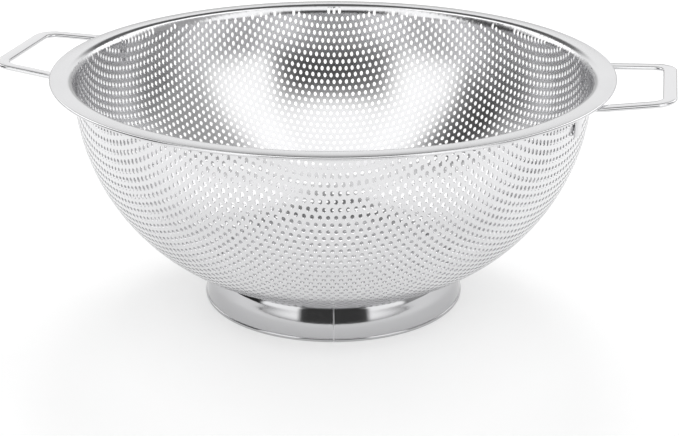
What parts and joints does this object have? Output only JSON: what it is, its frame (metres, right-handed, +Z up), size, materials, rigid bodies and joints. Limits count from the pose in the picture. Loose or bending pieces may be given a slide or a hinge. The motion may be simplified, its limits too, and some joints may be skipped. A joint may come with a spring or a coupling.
{
  "type": "colander",
  "caption": "Stainless steel colander: perforated round bowl with a flat rim, foot ring and two looped flat-bar side handles.",
  "frame": {"origin": "centre of the foot ring in the plane it stands on", "axes": "+Z up through the bowl's mouth, +X through the right-hand handle, +Y to the back"},
  "size_m": [0.343, 0.285, 0.124],
  "materials": {
    "bowl_steel": "polished stainless sheet, perforated",
    "foot_steel": "mirror-polished stainless strip",
    "handle_steel": "polished stainless flat bar",
    "weld_steel": "ground stainless weld"
  },
  "bodies": {
    "root": {"bowl": "bowl_steel", "foot_ring": "foot_steel", "foot_seam_weld": "weld_steel", "foot_weld_nuggets": "weld_steel", "handle_left": "handle_steel", "handle_right": "handle_steel", "handle_weld_nuggets": "weld_steel"}
  },
  "joints": []
}
